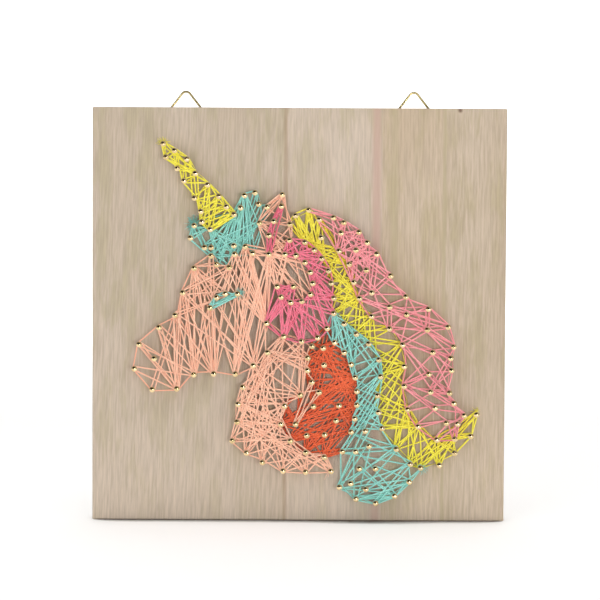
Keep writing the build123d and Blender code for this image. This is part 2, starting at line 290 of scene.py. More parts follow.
def twist_effect() -> Tree:
    """Builds the spun yarn: plies that wind round the thread, loose fibres on them, and the grooves between plies,
    for painted shading.

    Returns:
        The node group.
    """
    fibres_a_ply, fibre_scale, fibre_relief = 6.0, 1.3, 0.35
    bench, takes, out = effect("Spun twist", {"Lay": 1.6, "Plies": 3.0}, ("Height", "Hollow", "Fibre"))
    strand = bench.split(bench.put("ShaderNodeUVMap", uv_map="strand").outputs[0])
    winding = bench.math("MULTIPLY", strand["X"], takes["Plies"])
    phase = bench.math("ADD", winding, bench.math("DIVIDE", strand["Y"], takes["Lay"]))
    crest = bench.math("ABSOLUTE", bench.math("SINE", bench.math("MULTIPLY", phase, math.pi)))
    fibre = bench.noise(bench.vector(bench.math("MULTIPLY", phase, fibres_a_ply), strand["Y"]), fibre_scale)
    bench.join(bench.math("ADD", crest, bench.math("MULTIPLY", fibre, fibre_relief)), out, "Height")
    # Painted shading: dark in the grooves between the plies.
    bench.join(bench.ramp(crest, 0.6, 0.05), out, "Hollow")
    bench.join(bench.ramp(fibre, 0.3, 0.7), out, "Fibre")
    return bench.tree


def patina_effect() -> Tree:
    """Builds the wear of small brass fittings: a dull bloom and fine drawn scratches.

    Returns:
        The node group.
    """
    scratch_scale, drawn_out = 5200, (1.0, 0.15, 1.0)
    bench, takes, out = effect("Brass patina", {"Bloom size": 350.0}, ("Bloom", "Scratch"))
    here = bench.here()
    cloud = bench.noise(here, takes["Bloom size"], 4)
    drawn = bench.put("ShaderNodeMapping", {"Vector": here, "Scale": drawn_out}).outputs[0]
    bench.join(bench.ramp(cloud, 0.35, 0.7), out, "Bloom")
    bench.join(bench.ramp(bench.noise(drawn, scratch_scale), 0.4, 0.75), out, "Scratch")
    return bench.tree


# ---- finishes


class Effects:
    """The shared node groups, each built once."""

    def __init__(self) -> None:
        """Builds the three groups."""
        self.grain = grain_effect()
        self.twist = twist_effect()
        self.patina = patina_effect()


def blank_material(name: str, constants: dict[str, object]) -> tuple[Material, Bench, Node]:
    """Makes a material that holds only its Principled shader.

    Args:
        name: The material's name.
        constants: Shader inputs that are the same all over.

    Returns:
        The material, its bench and its shader.
    """
    material = bpy.data.materials.new(name)
    material.use_nodes = True
    bench = Bench(material.node_tree)
    shader = bench.put("ShaderNodeBsdfPrincipled", constants)
    bench.put("ShaderNodeOutputMaterial", {"Surface": shader.outputs[0]})
    return material, bench, shader


@dataclass(frozen=True)
class Band:
    """A stripe of other colour that runs up the board."""

    at: float
    half_width: float
    colour: Colour
    strength: float


@dataclass(frozen=True)
class Mark:
    """How one kind of grain shows: how much, how dark and how deep."""

    label: str
    share: float
    dark: float
    relief: float


@dataclass(frozen=True)
class TimberFinish:
    """Sanded, unsealed pale board timber. Towards its bottom edge it is painted paler, as painted light."""

    name: str
    pale: Colour
    warm: Colour
    seed: float
    lean: float = 0.0
    spacing: float = 2.6 * MM
    pith: Point = (0.0, 0.06, 0.0)
    bands: tuple[Band, ...] = ()
    knot: Place | None = None
    knot_radius: float = 1.8 * MM
    knot_colour: Colour = srgb(96, 66, 48)
    olive: Colour = (0.86, 0.90, 0.76)
    mottle: float = 0.75
    # Painted light: below this height the timber is painted paler, up to this share of a lighter tone.
    painted_light_height: float = 90 * MM
    painted_light_share: float = 0.40
    painted_light_gain: float = 1.12
    end_share: float = 0.45
    end_dark: float = 0.62
    marks: tuple[Mark, ...] = (
        Mark("Rings", 0.20, 0.70, -0.5),
        Mark("Streaks", 0.55, 0.66, -0.4),
        Mark("Pores", 0.38, 0.42, -1.0),
    )

    def make(self, effects: Effects) -> Material:
        """Builds the material.

        Args:
            effects: The shared node groups.

        Returns:
            The material.
        """
        material, bench, shader = blank_material(self.name, {"Specular IOR Level": 0.25})
        feeds = {"Seed": self.seed, "Lean": self.lean, "Line spacing": self.spacing, "Pith": self.pith}
        shades = bench.put("ShaderNodeGroup", feeds, node_tree=effects.grain).outputs
        here = bench.split(bench.here())
        tint = bench.mix(shades["Clouds"], self.pale, self.warm)
        mottle = bench.math("MULTIPLY", shades["Mottle"], self.mottle)
        tint = bench.mix(mottle, tint, scaled(self.warm, *self.olive))
        # Painted light: paler towards the bottom of the board.
        painted_light_foot = bench.ramp(here["Z"], self.painted_light_height, 0.0, 0.0, self.painted_light_share)
        tint = bench.mix(painted_light_foot, tint, scaled(self.pale, self.painted_light_gain))
        relief: object = 0.0
        for mark in self.marks:
            share = bench.math("MULTIPLY", shades[mark.label], mark.share)
            tint = bench.mix(share, tint, scaled(self.warm, mark.dark))
            relief = bench.math("MULTIPLY_ADD", shades[mark.label], mark.relief, relief)
        for band in self.bands:
            away = bench.math("ABSOLUTE", bench.math("SUBTRACT", here["X"], band.at))
            share = bench.ramp(away, band.half_width, band.half_width * 0.2, 0.0, band.strength)
            tint = bench.mix(share, tint, band.colour)
        if self.knot:
            centre = (self.knot[0], 0.0, self.knot[1])
            away = bench.compare("DISTANCE", bench.vector(here["X"], z=here["Z"]), centre)
            spot = bench.ramp(away, self.knot_radius, self.knot_radius / 6, 0.0, 0.8)
            tint = bench.mix(spot, tint, self.knot_colour)
        facing = bench.split(bench.put("ShaderNodeNewGeometry").outputs["Normal"])
        end = bench.ramp(bench.math("ABSOLUTE", facing["Z"]), 0.7, 0.95, 0.0, self.end_share)
        tint = bench.mix(end, tint, scaled(self.warm, self.end_dark))
        bench.join(tint, shader, "Base Color")
        bench.join(bench.ramp(shades["Streaks"], 0, 1, 0.62, 0.78), shader, "Roughness")
        bench.bump(shader, relief, 0.35, 0.12 * MM)
        return material


@dataclass(frozen=True)
class CottonFinish:
    """Soft spun cotton thread of one dye. Its darker tone serves both uneven dyeing and painted shading in the
    grooves between plies.
    """

    name: str
    dye: Colour
    # Darker tone: random uneven dyeing, and painted shading in the grooves between plies.
    dye_tone_and_groove_shade: Colour
    unevenness: float = 0.22
    painted_groove_shading: float = 0.55
    fibre: float = 0.10

    def make(self, effects: Effects) -> Material:
        """Builds the material.

        Args:
            effects: The shared node groups.

        Returns:
            The material.
        """
        sheen = tuple(min(1, channel * 0.6 + 0.4) for channel in self.dye)
        constants = {"Specular IOR Level": 0.25, "Sheen Weight": 0.25, "Sheen Roughness": 0.5, "Sheen Tint": sheen}
        material, bench, shader = blank_material(self.name, constants)
        twist = bench.put("ShaderNodeGroup", node_tree=effects.twist).outputs
        uneven = bench.ramp(bench.noise(bench.here(), 160, 1), 0.35, 0.7, 0.0, self.unevenness)
        tint = bench.mix(uneven, self.dye, self.dye_tone_and_groove_shade)
        # Painted shading: the darker tone laid into the grooves between plies.
        tint = bench.mix(bench.math("MULTIPLY", twist["Hollow"], self.painted_groove_shading), tint, self.dye_tone_and_groove_shade)
        tint = bench.mix(bench.math("MULTIPLY", twist["Fibre"], self.fibre), tint, (1.0, 1.0, 1.0))
        bench.join(tint, shader, "Base Color")
        bench.join(bench.ramp(twist["Fibre"], 0, 1, 0.7, 0.9), shader, "Roughness")
        bench.bump(shader, twist["Height"], 0.8, 0.12 * MM)
        return material


class Polish(Enum):
    """How bright a brass fitting is: its lowest and highest roughness."""

    BRIGHT = (0.12, 0.26)
    SATIN = (0.24, 0.42)


@dataclass(frozen=True)
class BrassFinish:
    """Small brass-plated hardware."""

    name: str
    metal: Colour
    dull: Colour
    polish: Polish = Polish.SATIN
    bloom: float = 0.55
    scratch: float = 0.4

    def make(self, effects: Effects) -> Material:
        """Builds the material.

        Args:
            effects: The shared node groups.

        Returns:
            The material.
        """
        material, bench, shader = blank_material(self.name, {"Metallic": 1.0})
        patina = bench.put("ShaderNodeGroup", node_tree=effects.patina).outputs
        tint = bench.mix(bench.math("MULTIPLY", patina["Bloom"], self.bloom), self.metal, self.dull)
        bench.join(tint, shader, "Base Color")
        matt = bench.math("MULTIPLY_ADD", patina["Scratch"], self.scratch, patina["Bloom"])
        bench.join(bench.ramp(matt, 0, 1 + self.scratch, *self.polish.value), shader, "Roughness")
        bench.bump(shader, patina["Scratch"], 0.12, 0.02 * MM)
        return material


def dress(node: str, material: Material) -> None:
    """Gives a node of the frame one material.

    Args:
        node: The node's name.
        material: Its material.
    """
    for holder in frame["nodes"][node].material_slots:
        holder.material = material


# ---- the pattern


FIRST_NAILS = {
    "forelock_top": (0.0, 0.0),
    "ear": (1.0, 1.0),
    "face_front": (0.5, 1.0),
    "eye": (0.0, 0.0),
    "curl_hook": (0.0, 0.33),
    "lock_top": (0.0, 0.0),
    "orange_left": (0.36, 1.0),
    "orange_lobe": (0.31, 1.0),
    "orange_middle": (0.41, 0.34),
    "lock_middle": (0.58, 1.0),
    "inner": (0.0, 0.0),
}


@dataclass
class Pattern:
    """The nails as they stand in the board, row by row, and the thread's way round them.

    A row is followed from its first nail, each time to the nearest one left. FIRST_NAILS says where in the row's
    width and height that nail is, if it isn't at the upper left. wrap is how far a thread's centre line stays from
    a nail's, and within a share of that, grazing, it cuts in.
    """

    wrap: float = 0.98 * MM
    same: float = 0.05 * MM
    apart: float = 1 * MM
    grazing: float = 0.98
    backwards: tuple[str, ...] = ("orange_middle",)
    rows: dict[str, list[Place]] = field(default_factory=dict)
    every: np.ndarray = field(default_factory=lambda: np.empty((0, 2)))

    def read(self) -> None:
        """Finds each nail's place from its point in the wood."""
        for name, node in frame["nodes"].items():
            if not name.startswith("nails_"):
                continue
            coords = np.empty(len(node.data.vertices) * 3)
            node.data.vertices.foreach_get("co", coords)
            coords = coords.reshape(-1, 3)
            points = coords[coords[:, 1] > coords[:, 1].max() - self.same]
            places: list[Place] = []
            for x, _, z in points:
                if all(math.dist((x, z), known) > self.apart for known in places):
                    places.append((float(x), float(z)))
            row = name[len("nails_") :]
            self.rows[row] = self.follow(places, FIRST_NAILS.get(row, (0.0, 1.0)))
            if row in self.backwards:
                self.rows[row].reverse()
        self.every = np.array([place for row in self.rows.values() for place in row])

    @staticmethod
    def follow(places: list[Place], first: Place) -> list[Place]:
        """Puts a row's nails in order.

        Args:
            places: The nails in any order.
            first: Where the first one is, in shares of the row's width and height.

        Returns:
            The nails, each followed by the nearest one left.
        """
        low, high = np.min(places, axis=0), np.max(places, axis=0)
        here = tuple(low + (high - low) * np.array(first))
        left, walk = list(places), []
        while left:
            here = min(left, key=lambda place: math.dist(place, here))
            left.remove(here)
            walk.append(here)
        return walk

    def run(self, start: Stop, end: Stop) -> tuple[Place, Place, float]:
        """Works out the straight run between two nails.

        Args:
            start: The nail that the thread leaves, and the side that it keeps it on.
            end: The nail that it comes to, likewise.

        Returns:
            Where the run begins and ends, and its heading.
        """
        (near, side), (far, other) = start, end
        swing = math.asin(max(-1, min(1, (other - side) * self.wrap / math.dist(near, far))))
        heading = math.atan2(far[1] - near[1], far[0] - near[0]) - swing
        across = (-math.sin(heading), math.cos(heading))
        leave = tuple(near[axis] - side * self.wrap * across[axis] for axis in (0, 1))
        arrive = tuple(far[axis] - other * self.wrap * across[axis] for axis in (0, 1))
        return leave, arrive, heading

    def in_the_way(self, start: Stop, end: Stop) -> Stop | None:
        """Finds the first nail that a run would cut into.

        Args:
            start: The run's first nail and side.
            end: Its last nail and side.

        Returns:
            That nail and the side it is passed on, or None.
        """
        leave, arrive, heading = self.run(start, end)
        offset = self.every - np.array(leave)
        along = offset @ np.array((math.cos(heading), math.sin(heading)))
        aside = offset @ np.array((-math.sin(heading), math.cos(heading)))
        hit = (along > 0) & (along < math.dist(leave, arrive)) & (np.abs(aside) < self.wrap * self.grazing)
        for place in (start[0], end[0]):
            hit &= np.hypot(*(self.every - np.array(place)).T) > self.same
        if not hit.any():
            return None
        first = int(np.argmin(np.where(hit, along, np.inf)))
        return tuple(map(float, self.every[first])), 1 if aside[first] > 0 else -1

    def route(self, stops: Sequence[Place], sides: Sequence[int] | None = None) -> list[Stop]:
        """Turns a list of nails into a taut thread's way round them.

        Args:
            stops: The nails in order.
            sides: The side each is kept on, or None for the side that the thread's turn gives.

        Returns:
            Every nail that the thread bears on, with its side.
        """
        turns = []
        for (x, z), (stop_x, stop_z), (next_x, next_z) in zip(stops, stops[1:], stops[2:]):
            turn = (stop_x - x) * (next_z - stop_z) - (stop_z - z) * (next_x - stop_x)
            turns.append(1 if turn > 0 else -1)
        turns = turns or [1]
        way = list(zip(stops, sides or [turns[0], *turns, turns[-1]]))
        index = 0
        most = 4 * len(stops) + 40
        while index < len(way) - 1 and len(way) < most:
            met = self.in_the_way(way[index], way[index + 1])
            if met:
                way.insert(index + 1, met)
            else:
                index += 1
        return way


class Pairing(Enum):
    """How a nail finds its partner in the other row."""

    EVEN = "the same share of the way along"
    CLOSE = "the nearest one"


@dataclass(frozen=True)
class Weave:
    """Passes of a thread to and fro between two rows of nails.

    leads says for each pass how many nails it is ahead in the far row, and stray how far chance moves it.
    """

    near: Sequence[Place]
    far: Sequence[Place]
    leads: Sequence[float] = (0, 1)
    stray: float = 0.9
    pairing: Pairing = Pairing.EVEN

    def stops(self, chance: random.Random) -> list[Place]:
        """Picks the nails in order.

        Args:
            chance: The field's random numbers.

        Returns:
            The nails of all passes, end to end.
        """
        visited: list[Place] = []
        for number, lead in enumerate(self.leads):
            order = range(len(self.near))
            for index in reversed(order) if number % 2 else order:
                share = index / max(1, len(self.near) - 1) * (len(self.far) - 1)
                if self.pairing is Pairing.CLOSE:
                    away = [math.dist(place, self.near[index]) for place in self.far]
                    share = away.index(min(away))
                pick = round(share + lead + chance.uniform(-self.stray, self.stray))
                pair = [self.near[index], self.far[max(0, min(len(self.far) - 1, pick))]]
                visited += pair[::-1] if number % 2 else pair
        return [stop for before, stop in zip([None, *visited], visited) if stop != before]


@dataclass(frozen=True)
class Border:
    """Passes of a thread along a line of nails. A share of the nails, weaving, is passed on the other side."""

    line: Sequence[Place]
    passes: int
    weaving: float = 0.35


# ---- the thread


@dataclass(frozen=True)
class Tuft:
    """A knot's cut end, frayed into its fibres. It heads so many degrees up from the right."""

    at: Place
    heading: float
    length: float = 4.5 * MM
    fan: float = 0.9
    fibres: int = 26


@dataclass
class ThreadField:
    """One field of colour: a single long thread laced over its nails."""

    name: str
    band: int
    weaves: Sequence[Weave]
    borders: Sequence[Border]
    tufts: Sequence[Tuft] = ()
    thick: float = 0.80 * MM
    wood_face: float = -6 * MM
    first_pass: float = 1.55 * MM
    band_rise: float = 2.28 * MM
    band_room: float = 1.52 * MM
    sides: int = 8
    unevenness: float = 0.12 * MM
    widest_turn: float = math.radians(330)
    bend_step: float = math.radians(38)
    coil_steps: int = 12
    fibre_steps: int = 6
    lap_shift: float = 7.3

    def point(self, place: Place, rise: float) -> Vector:
        """Gives the point at a height above the wood."""
        return Vector((place[0], self.wood_face - rise, place[1]))

    def path(
        self, pattern: Pattern, way: Sequence[Stop], low: float, high: float, chance: random.Random
    ) -> list[Vector]:
        """Draws the taut thread through its nails.

        Args:
            pattern: The nails.
            way: Each nail in order, with its side.
            low: Height above the wood where it starts.
            high: Height where it ends.
            chance: The field's random numbers.

        Returns:
            The thread's centre line.
        """
        runs = [pattern.run(here, there) for here, there in zip(way, way[1:])]
        lifts = [chance.uniform(-self.unevenness, self.unevenness) for _ in way]
        rises = [low + (high - low) * step / max(1, len(runs)) + lift for step, lift in enumerate(lifts)]
        line: list[Vector] = []
        for index, (leave, arrive, heading) in enumerate(runs):
            rise = rises[index + 1]
            line += [self.point(leave, rises[index]), self.point(arrive, rise)]
            if index + 1 == len(runs):
                break
            (nail, side), onward = way[index + 1], runs[index + 1][2]
            turn = side * ((side * (onward - heading)) % math.tau)
            if abs(turn) > self.widest_turn:
                turn = 0
            bends = int(abs(turn) / self.bend_step)
            reach = side * pattern.wrap
            for bend in range(1, bends + 1):
                swung = heading + turn * bend / (bends + 1)
                spot = (nail[0] + reach * math.sin(swung), nail[1] - reach * math.cos(swung))
                line.append(self.point(spot, rise))
        return line

    def coil(self, nail: Place, low: float, turns: float, wrap: float) -> list[Vector]:
        """Winds the thread's end round a nail.

        Args:
            nail: The nail.
            low: Height of the first turn.
            turns: Number of turns.
            wrap: Radius of the winding.

        Returns:
            The winding's centre line.
        """
        steps = int(turns * self.coil_steps)
        line = []
        for step in range(steps + 1):
            angle = math.tau * turns * step / steps
            place = (nail[0] + wrap * math.cos(angle), nail[1] + wrap * math.sin(angle))
            line.append(self.point(place, low + turns * 0.55 * self.thick * step / steps))
        return line

    def frayed(self, tuft: Tuft, height: float, chance: random.Random) -> list[Strand]:
        """Spreads a cut end into loose fibres.

        Args:
            tuft: Where the end is and how it lies.
            height: Its height above the wood.
            chance: The field's random numbers.

        Returns:
            Each fibre's centre line, with its share of the thread's thickness.
        """
        strands = []
        for _ in range(tuft.fibres):
            angle = math.radians(tuft.heading) + chance.gauss(0, tuft.fan * 0.55)
            reach = tuft.length * chance.uniform(0.45, 1.0)
            curl = chance.uniform(-0.8, 0.8)
            point = self.point(tuft.at, height + chance.uniform(-0.5, 0.5) * MM)
            droop = chance.uniform(-0.35, 0.3)
            line = [point.copy()]
            for _ in range(self.fibre_steps):
                angle += curl * 0.22
                point += Vector((math.cos(angle), -droop, math.sin(angle))) * reach / self.fibre_steps
                line.append(point.copy())
            strands.append((line, chance.uniform(0.2, 0.42)))
        return strands

    def build(self, pattern: Pattern, material: Material) -> Piece:
        """Makes the field's thread as one piece.

        Args:
            pattern: The nails.
            material: The thread's material.

        Returns:
            The piece.
        """
        chance = random.Random(self.name)
        floor = self.first_pass + self.band * self.band_rise
        share = 1 + len(self.borders) + len(self.weaves)
        ceiling = floor + self.band_room
        lines: list[list[Vector]] = []
        for number, weave in enumerate(self.weaves):
            low = floor + self.band_room * number / share
            way = pattern.route(weave.stops(chance))
            lines.append(self.path(pattern, way, low, ceiling, chance))
            lines.append(self.coil(way[0][0], low, 3, pattern.wrap))
            lines.append(self.coil(way[-1][0], ceiling - self.thick, 2, pattern.wrap))
        for border in self.borders:
            for number in range(border.passes):
                line = list(border.line)[:: -1 if number % 2 else 1]
                way = pattern.route(line)
                way = [(nail, -side if chance.random() < border.weaving else side) for nail, side in way]
                rise = floor + self.band_room * (number + 0.5) / border.passes
                lines.append(self.path(pattern, way, rise, rise, chance))
        strands: list[Strand] = [(line, 1.0) for line in lines]
        for tuft in self.tufts:
            strands += self.frayed(tuft, floor + self.band_room * 0.6, chance)
            strands.append((self.coil(tuft.at, floor - 0.3 * MM, 4, pattern.wrap), 1.0))
        piece = self.tube(strands)
        piece.data.materials.append(material)
        return piece

    def tube(self, strands: Sequence[Strand]) -> Piece:
        """Gives the centre lines their round section, and a map that follows each thread.

        Args:
            strands: Each centre line, with its share of the thread's thickness.

        Returns:
            The piece, without a material.
        """
        curve = bpy.data.curves.new("threads_" + self.name, "CURVE")
        curve.dimensions = "3D"
        curve.bevel_depth = self.thick / 2
        curve.bevel_resolution = (self.sides - 4) // 2
        curve.use_fill_caps = True
        rings, lengths = [], []
        for number, (line, share) in enumerate(strands):
            spline = curve.splines.new("POLY")
            spline.points.add(len(line) - 1)
            spline.points.foreach_set("co", [value for point in line for value in (*point, 1)])
            taper = [share] * len(line)
            if share < 1:
                taper = [share * (1 - 0.6 * step / len(line)) for step in range(len(line))]
            spline.points.foreach_set("radius", taper)
            steps = [0.0] + [(after - before).length for before, after in zip(line, line[1:])]
            lengths += list(np.cumsum(steps) / MM + self.lap_shift * number)
            rings.append(len(line))
        holder = bpy.data.objects.new(curve.name, curve)
        mesh = bpy.data.meshes.new_from_object(holder)
        bpy.data.objects.remove(holder)
        bpy.data.curves.remove(curve)
        mesh.name = "threads_" + self.name
        piece = bpy.data.objects.new(mesh.name, mesh)
        bpy.context.collection.objects.link(piece)
        corners = np.empty(len(mesh.loops), dtype=int)
        mesh.loops.foreach_get("vertex_index", corners)
        total = sum(rings) * self.sides
        spare = len(mesh.vertices) - total
        if spare < 0:
            raise ValueError(f"{self.name}: {len(mesh.vertices)} vertices, {total} expected")
        caps = np.zeros(spare)
        along = np.concatenate([np.repeat(np.array(lengths), self.sides), caps])[corners]
        around = np.concatenate([np.tile(np.arange(self.sides) / self.sides, sum(rings)), caps])[corners]
        starts, counts = (np.empty(len(mesh.polygons), dtype=int) for _ in range(2))
        mesh.polygons.foreach_get("loop_start", starts)
        mesh.polygons.foreach_get("loop_total", counts)
        highest = np.maximum.reduceat(around, starts)
        seam = np.repeat(highest > 0.8, counts) & (around < 0.2)
        around = np.where(seam, around + 1, around)
        while mesh.uv_layers:
            mesh.uv_layers.remove(mesh.uv_layers[0])
        layer = mesh.uv_layers.new(name="strand")
        layer.data.foreach_set("uv", np.stack([around, along], 1).ravel())
        mesh.shade_smooth()
        return piece


def lay_out(rows: dict[str, list[Place]]) -> Iterator[ThreadField]:
    """Says which nails each field of colour is laced over, in the order in which they are wound.

    Args:
        rows: The nails, row by row.

    Yields:
        The fields.
    """
    horn_left, horn_right = rows["horn_left"], rows["horn_right"]
    fringe, crown = rows["forelock_lower"], rows["forelock_top"]
    ear, brow, eye = rows["ear"], rows["face_front"], rows["eye"]
    throat, hook, rim = rows["neck_front"], rows["curl_hook"], rows["curl_rim"]
    top, left, right = rows["lock_top"], rows["lock_left"], rows["lock_right"]
    outer, middle = rows["mane_outer"], rows["mane_middle"]
    o_left, lobe, o_right, o_middle = (rows["orange_" + part] for part in ("left", "lobe", "right", "middle"))
    tip, lock_middle = rows["lock_tip"], rows["lock_middle"]
    crest = [fringe[0], horn_left[-1], horn_right[-1], *crown]
    cheek, dimple = rows["inner"][1:3]
    bend, notch = o_middle[7], o_middle[6]
    nape = rim[1:3] + o_left[:4] + lobe[:6]
    curl_back = rim + left[6:0:-1] + [left[0], top[0]]
    orange_back = rim[4:] + o_right
    lock_inside = [*orange_back, lobe[6], *tip[:3]]
    lock_outside = left[6:17] + tip[:2:-1]
    root = top[2:5] + right
    close = Pairing.CLOSE
    yield ThreadField(
        "horn", 1,
        [Weave(horn_left, horn_right, (0, 1, -1, 1), 0.8, close)],
        [Border(horn_left + horn_right[::-1], 4), Border([horn_left[-1], horn_right[-1]], 7, 0.5)],
        [Tuft(horn_left[0], 150), Tuft(horn_left[0], 60, 4 * MM)],
    )
    yield ThreadField(
        "forelock", 0,
        [
            Weave(fringe, crest, (0, 1.5, -1.5), 1.2),
            Weave(
                [*fringe[1:4], horn_left[-1], fringe[6]],
                [*fringe[5:7], fringe[9], fringe[8], crown[0]], (0, 1), 1.0,
            ),
        ],
        [Border(crest, 2), Border(fringe[3:9], 1)],
        [Tuft(fringe[0], heading, 6 * MM) for heading in (70, 120, 170, 220)],
    )
    yield ThreadField(
        "ear", 1,
        [Weave([crown[4], fringe[9], ear[4]], [ear[0], top[1], top[0]], (0, 1, -1, 0), 0.7)],
        [Border([crown[4], ear[0], top[1], top[0], ear[4], fringe[9], crown[4]], 2, 0.15)],
    )
    yield ThreadField("ear_lining", 2, [], [Border(ear[1:5], 9, 0.8), Border([ear[1], ear[4]], 3)])
    yield ThreadField(
        "eyelid", 2, [],
        [Border([eye[0], eye[3]], 5, 0.5), Border([eye[0], eye[2], eye[3]], 4, 0.5)],
        [Tuft(eye[3], 10, 4.5 * MM), Tuft(eye[3], 60, 3.5 * MM)],
    )
    yield ThreadField(
        "face", 1,
        [
            Weave(brow[5::-1], brow[7:], (0, -1, 1)),
            Weave([brow[2], *brow[2::-1], fringe[3]], [brow[6], brow[7], brow[7], brow[8], brow[9]], (0, 1), 1.0),
            Weave([*brow[:3], brow[0]], [fringe[4], fringe[5], eye[1], eye[2]], (0, 1), 1.0),
            Weave([eye[0], eye[0], eye[2], eye[3], eye[3]], [*brow[8:], rim[0]], (0, 1), 0.8),
            Weave(fringe[4:9], [eye[3], rim[0], rim[0], rim[0], hook[0]]),
            Weave([ear[4], ear[4], *fringe[8:4:-1]], [brow[11], brow[10], brow[10], eye[3], eye[2], eye[0]]),
            Weave([fringe[8], ear[4], ear[4]], [rim[0], rim[0], hook[0]], (0, 0), 0.6),
            Weave([rim[0], rim[1]], [brow[11], cheek], (0, 0), 0.6),
            Weave([*fringe[7:], ear[4], top[0]], hook[::-1], (0, 2, -2), 1.2),
        ],
        [Border([*fringe[5:2:-1], *brow, rim[0]], 1, 0.1)],
    )
    yield ThreadField(
        "neck", 1,
        [
            Weave([rim[0], cheek, brow[11], *throat[:3]], [*o_left[1:3], *lobe[:3], lobe[2]]),
            Weave([*rim[1:3], rim[2], o_left[1]], [lobe[1], lobe[0], lobe[0], lobe[0]], (0,), 0.6),
            Weave(throat[:4], [rim[2], rim[1], rim[0], cheek], (0, 0), 0.6),
            Weave([rim[0], rim[1], cheek], [o_left[1], o_left[2], o_left[2]], (0, 0), 0.6),
            Weave(throat[3:], [rim[1], cheek, brow[11], *throat[:3]]),
            Weave(throat[1:], lobe[1:6], (0, 1), 0.9, close),
        ],
        [
            Border(throat + nape[::-1], 1, 0.1),
            Border([o_left[3], notch, o_left[4]], 2, 0.3),
            Border([lobe[0], o_left[4]], 1),
        ],
        [Tuft(throat[-1], 215, 6 * MM, 0.2, 6)],
    )
    yield ThreadField(
        "cheek_curl", 2,
        [
            Weave(hook, curl_back, (0, 2.5, -2.5, 1.5, -1.5), 1.3),
            Weave([hook[0], hook[1], dimple, hook[2]], [rim[0], rim[0], rim[1], rim[1]], (0, -1, 1), 0.8),
        ],
        [
            Border(hook + curl_back[::-1], 1, 0.1),
            Border([hook[0], dimple, hook[1], hook[0]], 3, 0.5),
            Border(rim[:4], 2, 0.4),
        ],
    )
    yield ThreadField(
        "orange_curl", 0,
        [
            Weave(orange_back, o_middle[:5], (0, 1, -1), 1.0, close),
            Weave(o_left, [*o_middle[:2], bend], (0, 1, -1), 0.8, close),
            Weave(lobe[:6], [notch, notch, notch, *o_middle[5:2:-1]], (0, 1, -1, 0), 0.7),
            Weave(o_left, orange_back, (0, 2), 1.5, close),
            Weave([bend, notch, *lobe[2:6]], [*orange_back[3:], lobe[6]], (0, 1, -1, 2), 1.3),
            Weave([bend, notch, o_middle[5]], o_middle[2:5], (0, 1), 0.6),
        ],
        [Border([*o_left, bend, notch, *lobe, *orange_back[::-1]], 3, 0.3)],
    )
    yield ThreadField(
        "inner_lock", 1,
        [
            Weave(lock_inside, lock_outside, (0, 1.5, -1.5), 1.0, close),
            Weave([left[6], left[7], left[6]], [left[11], orange_back[4], left[10]], (0, 0), 0.8),
            Weave(lock_middle, tip + left[15:18], (0,), 1.5),
        ],
        [
            Border(lock_inside + lock_outside[::-1], 1, 0.2),
            Border(left[6:12], 2, 0.3),
            Border([*tip, left[17]], 2, 0.3),
        ],
        [Tuft(left[17], -30, 5 * MM)],
    )
    yield ThreadField(
        "long_lock", 0,
        [
            Weave(left, root, (0, 1, -1, 1), 0.9, close),
            Weave(top[1:5], [left[1], left[2], right[2], right[1]], (0, 1, -1)),
            Weave(left[:3], right[1:4], (0,)),
            Weave(top[1:5], [left[0], left[0], left[1], left[2]], (0, 1, -1), 0.8),
        ],
        [Border([*top[1:5], *right], 2, 0.3), Border([top[1], *left], 2, 0.3)],
        [Tuft(left[-1], 80, 4 * MM)],
    )
    yield ThreadField(
        "outer_mane", 1,
        [
            Weave(outer, middle, (0, 1, -1), 1.0, close),
            Weave(middle, root, (0, 1, -1), 1.0, close),
            Weave(outer[:5], root[:6], (0, 1), 1.0, close),
        ],
        [Border([top[3], *outer], 2, 0.2), Border(root[2:], 1, 0.2)],
    )


# ---- the sub-assemblies


@dataclass
class Board:
    """The square board, glued up from four staves."""

    node_prefix: str = "board_stave_"

    def finishes(self) -> dict[str, TimberFinish]:
        """Lists each stave's timber.

        Returns:
            The finish by stave.
        """
        pink, gold, brown = srgb(190, 160, 146), srgb(178, 164, 134), srgb(150, 120, 92)
        return {
            "left": TimberFinish(
                "timber_left", srgb(203, 187, 170), srgb(193, 176, 156), 1.3, 0.035, 2.9 * MM, (-0.15, 0.05, 0),
                (Band(-7 * MM, 2.2 * MM, brown, 0.35),),
            ),
            "middle": TimberFinish(
                "timber_middle", srgb(208, 192, 176), srgb(199, 182, 163), 5.1, 0.0, 3.4 * MM, (0.01, 0.07, 0),
                (Band(-7 * MM, 1.4 * MM, brown, 0.35), Band(41 * MM, 3.5 * MM, pink, 0.8)),
            ),
            "right": TimberFinish(
                "timber_right", srgb(205, 188, 168), srgb(196, 176, 152), 9.7, -0.004, 2.4 * MM, (0.09, 0.05, 0),
                (Band(50.5 * MM, 3.0 * MM, gold, 0.5), Band(77 * MM, 1.6 * MM, gold, 0.7)),
            ),
            "edge": TimberFinish(
                "timber_edge", srgb(203, 186, 166), srgb(192, 173, 150), 14.2, 0.006, 2.7 * MM, (0.13, 0.05, 0),
                (Band(77 * MM, 1.4 * MM, gold, 0.7),), (85 * MM, 219 * MM),
            ),
        }

    def build(self, effects: Effects) -> None:
        """Dresses the staves.

        Args:
            effects: The shared node groups.
        """
        for stave, finish in self.finishes().items():
            dress(self.node_prefix + stave, finish.make(effects))
            log.info("stave %s dressed", stave)


@dataclass
class Nails:
    """The brass-headed nails, a row at a time."""

    finish: BrassFinish = BrassFinish("nail_brass", srgb(246, 224, 176), srgb(196, 160, 100), Polish.BRIGHT)

    def build(self, effects: Effects, pattern: Pattern) -> None:
        """Dresses every row.

        Args:
            effects: The shared node groups.
            pattern: The nails' places.
        """
        brass = self.finish.make(effects)
        for row, places in pattern.rows.items():
            dress("nails_" + row, brass)
            log.info("row %s: %d nails", row, len(places))


